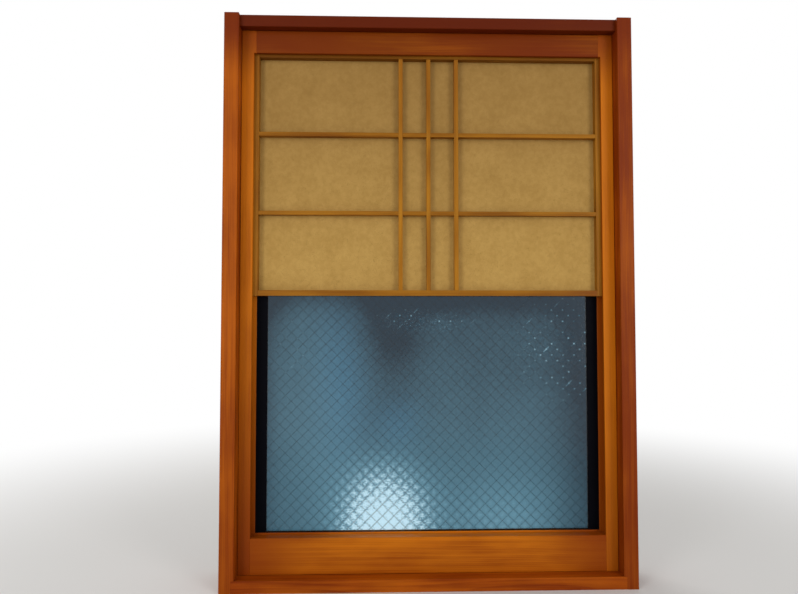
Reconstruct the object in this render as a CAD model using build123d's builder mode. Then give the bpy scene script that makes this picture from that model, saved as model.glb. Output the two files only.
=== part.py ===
# A lifting shoji screen in its wooden opening frame, in millimetres.
# X runs across the opening, Y from the room into the wall, and Z up.
# The origin is the middle of the frame's footprint, at its base.
# The screen's leaf rests in grooves in the head and the sill. A small papered panel slides
# up and down in grooves in the leaf, in front of a fixed papered lattice and a glass pane.

import os

from build123d import *

os.makedirs("parts", exist_ok=True)

# The opening frame
frame_width = 844.0
frame_depth = 115.0
jamb_face = 30.0
sill_thickness = 25.0
head_thickness = 24.0
head_setback = 10.0
opening_height = 1126.0
housing_depth = 6.0
frame_chamfer = 1.0

# The grooves that hold the leaf, and the leaf's tongues in them
sill_groove_depth = 3.0
head_groove_depth = 12.0
head_tongue = 8.0
tongue_thickness = 20.0
tongue_clearance = 0.5
shoulder_gap = 0.8
leaf_side_gap = 0.75

# The screws at the frame's corners
screw_length = 65.0
screw_shank = 4.0
screw_head = 8.0
screw_head_height = 3.0
screw_recess = 4.6
screw_recess_width = 1.0
screw_recess_depth = 1.8
screw_spacing = 70.0
screw_fit = 0.05

# The leaf
leaf_setback = 28.0
stile_width = 30.0
lip_thickness = 8.0
lip_cutback = 5.0
groove_depth = 8.0
back_thickness = 16.4
top_rail_height = 52.0
middle_rail_height = 26.0
middle_rail_cover = 2.0
bottom_rail_height = 75.8
seat_drop = 2.9
leaf_chamfer = 0.6
tenon_length = 18.0
tenon_thickness = 12.0
tenon_shoulder = 8.0
middle_tenon_length = 12.0
middle_tenon_thickness = 6.0
middle_tenon_shoulder = 4.0

# The lifting panel
panel_thickness = 15.0
panel_height = 516.7
panel_stile_width = 16.75
panel_top_rail_height = 13.5
panel_bottom_rail_height = 11.7
panel_edge_gap = 1.0
panel_top_gap = 0.5
panel_seat_gap = 0.3
slide_clearance = 0.3
panel_tenon_length = 9.0
panel_tenon_thickness = 5.0
panel_tenon_shoulder = 2.5
panel_chamfer = 0.4

# The lattice bars of the panel and of the fixed upper light
bar_face = 8.7
bar_pitch = 58.9
bar_columns = 3
bar_rows = 2
bar_setback = 0.3
bar_tenon_length = 5.0
bar_tenon_shoulder = 1.6

# The paper behind the bars
paper_thickness = 0.3
paper_recess = 0.5
paper_margin = 6.0
paper_edge_gap = 0.5

# The bowed springs that hold the panel where it is put
spring_length = 60.0
spring_width = 9.0
spring_strip = 0.4
spring_slot_depth = 2.5
spring_slot_gap = 1.0
spring_rise_gap = 0.3
spring_spacing = 300.0

# The lower pane, its dark edge channels, and the beads and nails that hold it
stop_thickness = 2.9
rebate_width = 8.0
glass_thickness = 6.8
glass_edge_gap = 1.0
channel_wall = 1.1
channel_sight = 22.5
channel_pocket = 12.0
nail_width = 1.6
nail_taper_angle = 1.5
nail_length = 16.0
nail_inset = 40.0
nail_fit = 0.05
upright_nail_count = 4
level_nail_count = 5

# Depths and heights of the frame
opening_half = frame_width / 2 - jamb_face
frame_half = frame_width / 2
frame_front = -frame_depth / 2
frame_back = frame_depth / 2
head_front = frame_front + head_setback
sill_top = sill_thickness
head_bottom = sill_top + opening_height
frame_top = head_bottom + head_thickness

# Depths and heights of the leaf
leaf_half = opening_half - leaf_side_gap
leaf_front = frame_front + leaf_setback
groove_front = leaf_front + lip_thickness
groove_back = groove_front + panel_thickness + 2 * slide_clearance
leaf_back = groove_back + back_thickness
leaf_middle = (leaf_front + leaf_back) / 2
tongue_front = leaf_middle - tongue_thickness / 2
tongue_back = leaf_middle + tongue_thickness / 2
leaf_foot = sill_top - sill_groove_depth
leaf_bottom = sill_top + shoulder_gap
leaf_top = head_bottom - shoulder_gap
leaf_crown = head_bottom + head_tongue

# The leaf's lights: the rear edge, the lip's edge in front of it, and the groove's floor
light_half = leaf_half - stile_width
lip_half = light_half + lip_cutback
groove_half = lip_half + groove_depth
upper_light_top = leaf_top - top_rail_height
lip_top = upper_light_top + lip_cutback
groove_top = lip_top + groove_depth
lower_light_bottom = leaf_bottom + bottom_rail_height
panel_seat = lower_light_bottom - seat_drop

# The lifting panel, raised to its stop
panel_front = groove_front + slide_clearance
panel_back = panel_front + panel_thickness
panel_middle = (panel_front + panel_back) / 2
panel_top = groove_top - panel_top_gap
panel_bottom = panel_top - panel_height
panel_half = groove_half - panel_edge_gap
panel_light_half = panel_half - panel_stile_width
panel_light_top = panel_top - panel_top_rail_height
panel_light_bottom = panel_bottom + panel_bottom_rail_height
panel_travel = panel_bottom - panel_seat - panel_seat_gap

# The leaf's middle rail, behind the raised panel's bottom rail
lower_light_top = panel_bottom + middle_rail_cover
upper_light_bottom = lower_light_top + middle_rail_height

# The lower pane and what holds it
glazing_front = groove_back + stop_thickness
glass_front = glazing_front + channel_wall
glass_back = glass_front + glass_thickness
glazing_back = glass_back + channel_wall
rebate_half = light_half + rebate_width
rebate_bottom = lower_light_bottom - rebate_width
rebate_top = lower_light_top + rebate_width
channel_inner = light_half - channel_sight
glass_half = channel_inner + channel_pocket - glass_edge_gap
glass_bottom = rebate_bottom + channel_wall + glass_edge_gap
glass_top = rebate_top - channel_wall - glass_edge_gap

# Each rail's tenons and the bars' tenons take these limits, and so do their mortises
top_tenon_deep = (leaf_middle - tenon_thickness / 2, leaf_middle + tenon_thickness / 2)
top_tenon_tall = (groove_top + middle_tenon_shoulder, leaf_top - tenon_shoulder)
bottom_tenon_tall = (leaf_bottom + tenon_shoulder, rebate_bottom - tenon_shoulder)
middle_tenon_front = groove_back + middle_tenon_shoulder
middle_tenon_deep = (middle_tenon_front, middle_tenon_front + middle_tenon_thickness)
middle_tenon_tall = (rebate_top + middle_tenon_shoulder / 2, upper_light_bottom - middle_tenon_shoulder)
panel_tenon_deep = (panel_middle - panel_tenon_thickness / 2, panel_middle + panel_tenon_thickness / 2)
panel_top_tenon_tall = (panel_light_top + panel_tenon_shoulder, panel_top - panel_tenon_shoulder)
panel_bottom_tenon_tall = (panel_bottom + panel_tenon_shoulder, panel_light_bottom - panel_tenon_shoulder)

# The bars' depth in the panel and in the fixed light
panel_bar_deep = (panel_front + bar_setback, panel_back - paper_recess)
upper_bar_deep = (groove_back + bar_setback, leaf_back - paper_recess)


def block(across, deep, tall, mode=Mode.ADD):
    """A square block between pairs of X, Y and Z limits, added to or cut from the open part."""
    with BuildSketch(Plane.XY.offset(min(tall))) as section:
        with Locations((sum(across) / 2, sum(deep) / 2)):
            Rectangle(max(across) - min(across), max(deep) - min(deep))
    extrude(section.sketch, amount=max(tall) - min(tall), mode=mode)


def level_section(half_length, *points):
    """A level member, with its Y, Z section run from one end to the other."""
    with BuildSketch(Plane.YZ.offset(-half_length)) as section:
        with BuildLine():
            Polyline(*points, close=True)
        make_face()
    extrude(section.sketch, amount=2 * half_length)


edge_tolerance = 0.01


def edges_at(piece, along, across, value):
    """The piece's edges that run along one axis and lie at a value of another."""
    near = (value - edge_tolerance, value + edge_tolerance)
    return piece.edges().filter_by(along).filter_by_position(across, *near)


def column_centres():
    """X of each upright bar."""
    return [bar_pitch * (i - (bar_columns - 1) / 2) for i in range(bar_columns)]


def row_centres(bottom, top):
    """Z of each level bar, which parts a light into equal cells."""
    cell = (top - bottom - bar_rows * bar_face) / (bar_rows + 1)
    return [bottom + cell + bar_face / 2 + i * (cell + bar_face) for i in range(bar_rows)]


def inset(limits, amount):
    """A pair of limits drawn in at both ends."""
    return (min(limits) + amount, max(limits) - amount)


def about(centre, size):
    """The limits of a size set about its centre."""
    return (centre - size / 2, centre + size / 2)


def finish(piece, name):
    """Name a finished piece and write it."""
    piece.label = name
    export_step(piece, f"parts/{name}.step")


# The frame's screws

def make_screw(fit):
    """A countersunk screw from its flat head at X = 0 along +X, larger all round by fit."""
    with BuildPart() as screw:
        with BuildSketch():
            with BuildLine():
                Polyline(
                    (0, 0),
                    (0, screw_head / 2 + fit),
                    (screw_head_height, screw_shank / 2 + fit),
                    (screw_length, screw_shank / 2 + fit),
                    (screw_length, 0),
                    close=True,
                )
            make_face()
        revolve(axis=Axis.X)
    return screw.part


def make_recessed_screw():
    """The screw with the cross for its driver."""
    with BuildPart() as screw:
        add(make_screw(0))
        recess = (0, screw_recess_depth)
        for wide, high in ((screw_recess, screw_recess_width), (screw_recess_width, screw_recess)):
            block(recess, about(0, wide), about(0, high), Mode.SUBTRACT)
    return screw.part


def screw_places(side):
    """Where the screws on one side go in: two into the sill's end and two into the head's."""
    turn = (0, 0, 90 + 90 * side)
    return [
        Location((side * frame_half, deep, tall), turn)
        for tall in (sill_top / 2, head_bottom + head_thickness / 2)
        for deep in about(0, screw_spacing)
    ]


# The frame

def make_jamb(side):
    """A jamb, housed for the ends of the head and the sill."""
    inner = side * opening_half
    housing = (inner, inner + side * housing_depth)
    with BuildPart() as jamb:
        block((inner, side * frame_half), (frame_front, frame_back), (0, frame_top))
        chamfer(edges_at(jamb, Axis.Z, Axis.Y, frame_front), length=frame_chamfer)
        block(housing, (frame_front, frame_back), (0, sill_top), Mode.SUBTRACT)
        block(housing, (head_front, frame_back), (head_bottom, frame_top), Mode.SUBTRACT)
        with Locations(*screw_places(side)):
            add(make_screw(screw_fit), mode=Mode.SUBTRACT)
    return jamb.part


for side, side_name in ((-1, "left"), (1, "right")):
    finish(make_jamb(side), f"{side_name}_jamb")

groove_in_frame = (tongue_front - tongue_clearance, tongue_back + tongue_clearance)
housed_half = opening_half + housing_depth

with BuildPart() as sill:
    level_section(
        housed_half,
        (frame_front, 0),
        (frame_front, sill_top),
        (groove_in_frame[0], sill_top),
        (groove_in_frame[0], leaf_foot),
        (groove_in_frame[1], leaf_foot),
        (groove_in_frame[1], sill_top),
        (frame_back, sill_top),
        (frame_back, 0),
    )
    chamfer(edges_at(sill, Axis.X, Axis.Y, frame_front).sort_by(Axis.Z)[-1], length=frame_chamfer)
    with Locations(*screw_places(-1), *screw_places(1)):
        add(make_screw(screw_fit), mode=Mode.SUBTRACT)
finish(sill.part, "sill")

with BuildPart() as head:
    level_section(
        housed_half,
        (head_front, head_bottom),
        (head_front, frame_top),
        (frame_back, frame_top),
        (frame_back, head_bottom),
        (groove_in_frame[1], head_bottom),
        (groove_in_frame[1], head_bottom + head_groove_depth),
        (groove_in_frame[0], head_bottom + head_groove_depth),
        (groove_in_frame[0], head_bottom),
    )
    chamfer(edges_at(head, Axis.X, Axis.Y, head_front).sort_by(Axis.Z)[0], length=frame_chamfer)
    with Locations(*screw_places(-1), *screw_places(1)):
        add(make_screw(screw_fit), mode=Mode.SUBTRACT)
finish(head.part, "head")

with BuildPart() as frame_screws:
    with Locations(*screw_places(-1), *screw_places(1)):
        add(make_recessed_screw())
finish(frame_screws.part, "frame_screws")


# The beads' cut nails

def make_nail(fit):
    """A square tapered nail from X = 0 along +X, larger all round by fit."""
    with BuildPart() as nail:
        with BuildSketch(Plane.YZ):
            Rectangle(nail_width + 2 * fit, nail_width + 2 * fit)
        extrude(amount=nail_length, taper=nail_taper_angle)
    return nail.part


def spread(limits, count):
    """Evenly spaced places from near one limit to near the other."""
    low, high = inset(limits, nail_inset)
    return [low + (high - low) * i / (count - 1) for i in range(count)]


def upright_nail_places(side):
    """The nails through an upright bead, pointing outwards into its stile."""
    turn = (0, 0, 90 - 90 * side)
    deep = (glazing_back + leaf_back) / 2
    tall = (lower_light_bottom, lower_light_top)
    return [Location((side * light_half, deep, z), turn) for z in spread(tall, upright_nail_count)]


def level_nail_places(height, turn):
    """The nails through a level bead, pointing up or down into its rail."""
    deep = (glazing_back + leaf_back) / 2
    across = (-light_half, light_half)
    return [Location((x, deep, height), (0, turn, 0)) for x in spread(across, level_nail_count)]


left_nails = upright_nail_places(-1)
right_nails = upright_nail_places(1)
bottom_nails = level_nail_places(lower_light_bottom, 90)
top_nails = level_nail_places(lower_light_top, -90)


# The leaf

def leaf_tenons(deep, tall, length, mode=Mode.ADD):
    """A rail's two tenons, or the mortises for them, beyond the light's edges."""
    for side in (-1, 1):
        block((side * light_half, side * (light_half + length)), deep, tall, mode)


def level_bar_mortises(half, deep, rows):
    """Mortises beyond a light's side edges for the ends of its level bars."""
    for side in (-1, 1):
        for row in rows:
            ends = (side * half, side * (half + bar_tenon_length))
            tall = inset(about(row, bar_face), bar_tenon_shoulder)
            block(ends, inset(deep, bar_tenon_shoulder), tall, Mode.SUBTRACT)


def upright_bar_mortises(deep, tall):
    """Mortises in a level rail, between two heights, for the ends of the upright bars."""
    for column in column_centres():
        across = inset(about(column, bar_face), bar_tenon_shoulder)
        block(across, inset(deep, bar_tenon_shoulder), tall, Mode.SUBTRACT)


upper_rows = row_centres(upper_light_bottom, upper_light_top)
paper_front = leaf_back - paper_recess


def make_leaf_stile(side, nails):
    """A stile with the panel's groove, the pane's rebate, the paper's recess and its mortises."""
    inner = side * light_half
    margin = inner + side * paper_margin
    with BuildPart() as stile:
        block((inner, side * leaf_half), (leaf_front, leaf_back), (leaf_bottom, leaf_top))
        block((inner, side * lip_half), (leaf_front, groove_front), (leaf_bottom, lip_top), Mode.SUBTRACT)
        chamfer(edges_at(stile, Axis.Z, Axis.X, side * lip_half).sort_by(Axis.Y)[0], length=leaf_chamfer)
        chamfer(edges_at(stile, Axis.Z, Axis.X, side * leaf_half), length=leaf_chamfer)
        groove_tall = (panel_seat, groove_top)
        block((inner, side * groove_half), (groove_front, groove_back), groove_tall, Mode.SUBTRACT)
        rebate_tall = (rebate_bottom, rebate_top)
        block((inner, side * rebate_half), (glazing_front, leaf_back), rebate_tall, Mode.SUBTRACT)
        paper_tall = (upper_light_bottom - paper_margin, upper_light_top + paper_margin)
        block((inner, margin), (paper_front, leaf_back), paper_tall, Mode.SUBTRACT)
        for tongue in ((leaf_foot, leaf_bottom), (leaf_top, leaf_crown)):
            block((inner, side * leaf_half), (tongue_front, tongue_back), tongue)
        leaf_tenons(top_tenon_deep, top_tenon_tall, tenon_length, Mode.SUBTRACT)
        leaf_tenons(top_tenon_deep, bottom_tenon_tall, tenon_length, Mode.SUBTRACT)
        leaf_tenons(middle_tenon_deep, middle_tenon_tall, middle_tenon_length, Mode.SUBTRACT)
        level_bar_mortises(light_half, upper_bar_deep, upper_rows)
        with Locations(*nails):
            add(make_nail(nail_fit), mode=Mode.SUBTRACT)
    return stile.part


finish(make_leaf_stile(-1, left_nails), "leaf_left_stile")
finish(make_leaf_stile(1, right_nails), "leaf_right_stile")

with BuildPart() as leaf_top_rail:
    level_section(
        light_half,
        (leaf_front, lip_top),
        (leaf_front, leaf_top),
        (tongue_front, leaf_top),
        (tongue_front, leaf_crown),
        (tongue_back, leaf_crown),
        (tongue_back, leaf_top),
        (leaf_back, leaf_top),
        (leaf_back, upper_light_top + paper_margin),
        (paper_front, upper_light_top + paper_margin),
        (paper_front, upper_light_top),
        (groove_back, upper_light_top),
        (groove_back, groove_top),
        (groove_front, groove_top),
        (groove_front, lip_top),
    )
    chamfer(edges_at(leaf_top_rail, Axis.X, Axis.Y, leaf_front).sort_by(Axis.Z)[0], length=leaf_chamfer)
    leaf_tenons(top_tenon_deep, top_tenon_tall, tenon_length)
    upright_bar_mortises(upper_bar_deep, (upper_light_top, upper_light_top + bar_tenon_length))
finish(leaf_top_rail.part, "leaf_top_rail")

with BuildPart() as leaf_middle_rail:
    level_section(
        light_half,
        (groove_back, lower_light_top),
        (groove_back, upper_light_bottom),
        (paper_front, upper_light_bottom),
        (paper_front, upper_light_bottom - paper_margin),
        (leaf_back, upper_light_bottom - paper_margin),
        (leaf_back, rebate_top),
        (glazing_front, rebate_top),
        (glazing_front, lower_light_top),
    )
    chamfer(edges_at(leaf_middle_rail, Axis.X, Axis.Y, groove_back), length=leaf_chamfer)
    leaf_tenons(middle_tenon_deep, middle_tenon_tall, middle_tenon_length)
    upright_bar_mortises(upper_bar_deep, (upper_light_bottom - bar_tenon_length, upper_light_bottom))
    with Locations(*top_nails):
        add(make_nail(nail_fit), mode=Mode.SUBTRACT)
finish(leaf_middle_rail.part, "leaf_middle_rail")

with BuildPart() as leaf_bottom_rail:
    level_section(
        light_half,
        (leaf_front, leaf_bottom),
        (leaf_front, panel_seat),
        (groove_back, panel_seat),
        (groove_back, lower_light_bottom),
        (glazing_front, lower_light_bottom),
        (glazing_front, rebate_bottom),
        (leaf_back, rebate_bottom),
        (leaf_back, leaf_bottom),
        (tongue_back, leaf_bottom),
        (tongue_back, leaf_foot),
        (tongue_front, leaf_foot),
        (tongue_front, leaf_bottom),
    )
    for side in (-1, 1):
        shoulder = (side * light_half, side * lip_half)
        block(shoulder, (leaf_front, groove_front), (leaf_bottom, panel_seat))
    chamfer(edges_at(leaf_bottom_rail, Axis.X, Axis.Y, leaf_front).sort_by(Axis.Z)[-1], length=leaf_chamfer)
    leaf_tenons(top_tenon_deep, bottom_tenon_tall, tenon_length)
    with Locations(*bottom_nails):
        add(make_nail(nail_fit), mode=Mode.SUBTRACT)
finish(leaf_bottom_rail.part, "leaf_bottom_rail")


# The lattices

def make_upright_bar(column, deep, tall, rows):
    """An upright bar with a tenon at each end, which keeps its front half where it crosses a level one."""
    across = about(column, bar_face)
    ends = (tall[0] - bar_tenon_length, tall[1] + bar_tenon_length)
    with BuildPart() as bar:
        block(across, deep, tall)
        block(inset(across, bar_tenon_shoulder), inset(deep, bar_tenon_shoulder), ends)
        for row in rows:
            block(across, (sum(deep) / 2, deep[1]), about(row, bar_face), Mode.SUBTRACT)
    return bar.part


def make_level_bar(row, deep, half):
    """A level bar with a tenon at each end, which keeps its back half where it crosses an upright one."""
    tall = about(row, bar_face)
    ends = (-half - bar_tenon_length, half + bar_tenon_length)
    with BuildPart() as bar:
        block((-half, half), deep, tall)
        block(ends, inset(deep, bar_tenon_shoulder), inset(tall, bar_tenon_shoulder))
        for column in column_centres():
            block(about(column, bar_face), (deep[0], sum(deep) / 2), tall, Mode.SUBTRACT)
    return bar.part


def make_lattice(owner, deep, half, tall, rows):
    """All the bars of a light."""
    for number, column in enumerate(column_centres(), start=1):
        finish(make_upright_bar(column, deep, tall, rows), f"{owner}_upright_bar_{number}")
    for number, row in enumerate(rows, start=1):
        finish(make_level_bar(row, deep, half), f"{owner}_level_bar_{number}")


def make_paper(front, half, tall):
    """A sheet pasted to the backs of the bars and into the recess round the light."""
    overlap = paper_margin - paper_edge_gap
    with BuildPart() as paper:
        block(
            inset((-half, half), -overlap),
            (front, front + paper_thickness),
            inset(tall, -overlap),
        )
    return paper.part


make_lattice("upper", upper_bar_deep, light_half, (upper_light_bottom, upper_light_top), upper_rows)
finish(make_paper(paper_front, light_half, (upper_light_bottom, upper_light_top)), "upper_paper")


# The lower pane

with BuildPart() as glass_pane:
    block((-glass_half, glass_half), (glass_front, glass_back), (glass_bottom, glass_top))
finish(glass_pane.part, "glass_pane")


def make_side_channel(side):
    """A dark hollow channel that takes the pane's upright edge in its pocket."""
    pocket_end = channel_inner + channel_pocket
    hollow = (glass_front, glass_back)
    tall = (rebate_bottom, rebate_top)
    chamber = (side * (pocket_end + channel_wall), side * (rebate_half - channel_wall))
    with BuildPart() as channel:
        block((side * channel_inner, side * rebate_half), (glazing_front, glazing_back), tall)
        block((side * channel_inner, side * pocket_end), hollow, tall, Mode.SUBTRACT)
        block(chamber, hollow, tall, Mode.SUBTRACT)
    return channel.part


def make_rail_channel(floor, edge):
    """A thin channel round the pane's level edge, hidden in the rail's rebate."""
    web = floor + channel_wall if edge > floor else floor - channel_wall
    across = (-channel_inner, channel_inner)
    with BuildPart() as channel:
        block(across, (glazing_front, glazing_back), (floor, edge))
        block(across, (glass_front, glass_back), (web, edge), Mode.SUBTRACT)
    return channel.part


def make_bead(across, tall, nails):
    """A square bead behind the pane's edge, drilled for its nails."""
    with BuildPart() as bead:
        block(across, (glazing_back, leaf_back), tall)
        with Locations(*nails):
            add(make_nail(nail_fit), mode=Mode.SUBTRACT)
    return bead.part


for side, side_name, nails in ((-1, "left", left_nails), (1, "right", right_nails)):
    finish(make_side_channel(side), f"glass_{side_name}_channel")
    upright = (side * light_half, side * rebate_half)
    finish(make_bead(upright, (rebate_bottom, rebate_top), nails), f"{side_name}_bead")

level_edges = (
    ("bottom", rebate_bottom, lower_light_bottom, bottom_nails),
    ("top", rebate_top, lower_light_top, top_nails),
)
for edge_name, floor, edge, nails in level_edges:
    finish(make_rail_channel(floor, edge), f"glass_{edge_name}_channel")
    finish(make_bead((-light_half, light_half), (floor, edge), nails), f"{edge_name}_bead")

with BuildPart() as bead_nails:
    with Locations(*left_nails, *right_nails, *bottom_nails, *top_nails):
        add(make_nail(0))
finish(bead_nails.part, "bead_nails")


# The lifting panel

panel_rows = row_centres(panel_light_bottom, panel_light_top)
panel_paper_front = panel_back - paper_recess
spring_slot_floor = panel_half - spring_slot_depth
spring_crown = groove_half - spring_rise_gap
spring_heights = about((panel_bottom + panel_top) / 2, spring_spacing)


def panel_tenons(tall, mode=Mode.ADD):
    """A panel rail's two tenons, or the mortises for them."""
    for side in (-1, 1):
        across = (side * panel_light_half, side * (panel_light_half + panel_tenon_length))
        block(across, panel_tenon_deep, tall, mode)


def make_panel_stile(side):
    """A panel stile with its mortises, the paper's recess and a slot for each spring."""
    inner = side * panel_light_half
    margin = inner + side * paper_margin
    with BuildPart() as stile:
        block((inner, side * panel_half), (panel_front, panel_back), (panel_bottom, panel_top))
        chamfer(edges_at(stile, Axis.Z, Axis.Y, panel_front), length=panel_chamfer)
        paper_tall = (panel_light_bottom - paper_margin, panel_light_top + paper_margin)
        block((inner, margin), (panel_paper_front, panel_back), paper_tall, Mode.SUBTRACT)
        panel_tenons(panel_top_tenon_tall, Mode.SUBTRACT)
        panel_tenons(panel_bottom_tenon_tall, Mode.SUBTRACT)
        level_bar_mortises(panel_light_half, panel_bar_deep, panel_rows)
        for height in spring_heights:
            slot = (side * spring_slot_floor, side * panel_half)
            slot_deep = about(panel_middle, spring_width + spring_slot_gap)
            slot_tall = about(height, spring_length + 2 * spring_slot_gap)
            block(slot, slot_deep, slot_tall, Mode.SUBTRACT)
    return stile.part


def make_spring(side, height):
    """A strip bowed from its slot's floor almost to the groove's floor."""
    bottom, top = about(height, spring_length)
    with BuildPart() as spring:
        with BuildSketch(Plane.XZ.offset(-panel_middle)):
            with BuildLine():
                ThreePointArc(
                    (side * spring_slot_floor, bottom),
                    (side * (spring_crown - spring_strip), height),
                    (side * spring_slot_floor, top),
                )
                Line((side * spring_slot_floor, top), (side * (spring_slot_floor + spring_strip), top))
                ThreePointArc(
                    (side * (spring_slot_floor + spring_strip), top),
                    (side * spring_crown, height),
                    (side * (spring_slot_floor + spring_strip), bottom),
                )
                Line((side * (spring_slot_floor + spring_strip), bottom), (side * spring_slot_floor, bottom))
            make_face()
        extrude(amount=spring_width / 2, both=True)
    return spring.part


for side, side_name in ((-1, "left"), (1, "right")):
    finish(make_panel_stile(side), f"panel_{side_name}_stile")
    for height, height_name in zip(spring_heights, ("lower", "upper")):
        finish(make_spring(side, height), f"{height_name}_{side_name}_spring")

with BuildPart() as panel_top_rail:
    level_section(
        panel_light_half,
        (panel_front, panel_light_top),
        (panel_front, panel_top),
        (panel_back, panel_top),
        (panel_back, panel_light_top + paper_margin),
        (panel_paper_front, panel_light_top + paper_margin),
        (panel_paper_front, panel_light_top),
    )
    chamfer(edges_at(panel_top_rail, Axis.X, Axis.Y, panel_front), length=panel_chamfer)
    panel_tenons(panel_top_tenon_tall)
    upright_bar_mortises(panel_bar_deep, (panel_light_top, panel_light_top + bar_tenon_length))
finish(panel_top_rail.part, "panel_top_rail")

with BuildPart() as panel_bottom_rail:
    level_section(
        panel_light_half,
        (panel_front, panel_bottom),
        (panel_front, panel_light_bottom),
        (panel_paper_front, panel_light_bottom),
        (panel_paper_front, panel_light_bottom - paper_margin),
        (panel_back, panel_light_bottom - paper_margin),
        (panel_back, panel_bottom),
    )
    chamfer(edges_at(panel_bottom_rail, Axis.X, Axis.Y, panel_front), length=panel_chamfer)
    panel_tenons(panel_bottom_tenon_tall)
    upright_bar_mortises(panel_bar_deep, (panel_light_bottom - bar_tenon_length, panel_light_bottom))
finish(panel_bottom_rail.part, "panel_bottom_rail")

panel_light = (panel_light_bottom, panel_light_top)
make_lattice("panel", panel_bar_deep, panel_light_half, panel_light, panel_rows)
finish(make_paper(panel_paper_front, panel_light_half, panel_light), "panel_paper")

print(f"The panel drops {panel_travel:.2f} mm from its stop to its seat.")
print(f"The raised panel's foot is {panel_bottom - sill_top:.1f} mm above the sill.")
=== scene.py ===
# The finishes of a lifting shoji screen: oiled cedar, tan paper, figured wired glass and small metalwork,
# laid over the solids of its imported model, with the plain studio that shows it.
# Lengths are in metres. X runs across the opening, Y from its front to its back, and Z up.

import math
import random

import bmesh
import bpy
from bpy.props import FloatProperty, FloatVectorProperty, PointerProperty
from mathutils import Euler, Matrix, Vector


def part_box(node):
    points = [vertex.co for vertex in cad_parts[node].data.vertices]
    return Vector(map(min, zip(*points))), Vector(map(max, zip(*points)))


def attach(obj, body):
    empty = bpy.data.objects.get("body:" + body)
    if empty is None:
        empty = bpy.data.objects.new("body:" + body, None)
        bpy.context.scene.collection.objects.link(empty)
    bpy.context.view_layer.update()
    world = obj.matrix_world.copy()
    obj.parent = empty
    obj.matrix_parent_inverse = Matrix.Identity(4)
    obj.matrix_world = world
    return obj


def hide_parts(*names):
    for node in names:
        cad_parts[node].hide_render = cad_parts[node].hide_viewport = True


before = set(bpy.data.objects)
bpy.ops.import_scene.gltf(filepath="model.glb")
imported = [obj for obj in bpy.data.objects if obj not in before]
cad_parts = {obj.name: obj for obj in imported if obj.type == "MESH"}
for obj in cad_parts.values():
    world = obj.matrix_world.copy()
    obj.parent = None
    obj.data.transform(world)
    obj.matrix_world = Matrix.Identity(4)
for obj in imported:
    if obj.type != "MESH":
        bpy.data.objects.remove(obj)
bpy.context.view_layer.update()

bl_info = {
    "name": "Lifting shoji screen",
    "version": (1, 0, 0),
    "blender": (4, 5, 0),
    "location": "3D View > Sidebar > Shoji",
    "description": "Finishes the pieces of a lifting shoji screen and sets up the studio round it",
    "category": "Object",
}

# The solids, by what they are made of and which way their grain runs
FRAME_UPRIGHTS = ("left_jamb", "right_jamb")
FRAME_LEVELS = ("head", "sill")
LEAF_UPRIGHTS = ("leaf_left_stile", "leaf_right_stile", "left_bead", "right_bead")
LEAF_LEVELS = ("leaf_top_rail", "leaf_middle_rail", "leaf_bottom_rail", "bottom_bead", "top_bead")
PANEL_UPRIGHTS = ("panel_left_stile", "panel_right_stile")
PANEL_LEVELS = ("panel_top_rail", "panel_bottom_rail")
UPRIGHT_BARS = tuple(sorted(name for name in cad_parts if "upright_bar" in name))
LEVEL_BARS = tuple(sorted(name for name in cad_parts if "level_bar" in name))
CHANNELS = tuple(sorted(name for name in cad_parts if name.endswith("_channel")))
SPRINGS = tuple(sorted(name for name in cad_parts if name.endswith("_spring")))
# Each paper and the body that carries it
PAPERS = (("panel_paper", "panel"), ("upper_paper", "frame"))


# Settings

def colour(name, description, default):
    """A colour that a user may change."""
    return FloatVectorProperty(
        name=name, description=description, default=default, subtype="COLOR", size=3, min=0.0, max=1.0
    )


def length(name, description, default):
    """A length that a user may change."""
    return FloatProperty(
        name=name, description=description, default=default, min=0.0, precision=5, unit="LENGTH"
    )


def angle(name, description, default):
    """An angle that a user may change."""
    return FloatProperty(name=name, description=description, default=default, unit="ROTATION")


def power(name, description, default):
    """A lamp's power that a user may change."""
    return FloatProperty(name=name, description=description, default=default, min=0.0, unit="POWER")


class ShojiWoodSettings(bpy.types.PropertyGroup):
    """Tones and grain of the cedar."""

    frame_pale: colour("Frame pale", "Pale tone of the head, sill and jambs", (0.46, 0.104, 0.003))
    frame_deep: colour("Frame deep", "Deep tone of the head, sill and jambs", (0.20, 0.028, 0.001))
    leaf_pale: colour("Leaf pale", "Pale tone of the leaf's stiles and rails", (0.47, 0.130, 0.004))
    leaf_deep: colour("Leaf deep", "Deep tone of the leaf's stiles and rails", (0.22, 0.040, 0.001))
    lattice_pale: colour("Lattice pale", "Pale tone of the panel and the bars", (0.39, 0.160, 0.011))
    lattice_deep: colour("Lattice deep", "Deep tone of the panel and the bars", (0.20, 0.064, 0.004))
    ring_spacing: length("Ring spacing", "Distance between growth rings", 0.0032)
    edge_radius: length("Edge radius", "How far the sharp edges are eased", 0.0006)


class ShojiPaperSettings(bpy.types.PropertyGroup):
    """Tones and fibres of the paper."""

    pale: colour("Pale", "Pale tone of the paper", (0.524, 0.322, 0.091))
    deep: colour("Deep", "Deep tone of the paper", (0.408, 0.238, 0.059))
    # Painted shade: the paper's tones are multiplied by this towards its top
    shaded_top_tone: colour("Shaded top", "What the tones are multiplied by at the paper's top", (0.72, 0.68, 0.68))
    fibre_tone: colour("Fibre tone", "Tone of the loose fibres on the paper's face", (0.25, 0.14, 0.045))
    fibre_length: length("Fibre length", "Length of a loose fibre", 0.014)
    fibre_width: length("Fibre width", "Thickness of a loose fibre", 0.00016)
    fibre_density: FloatProperty(
        name="Fibre density", description="Loose fibres on each square metre", default=4500.0, min=0.0
    )


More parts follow.
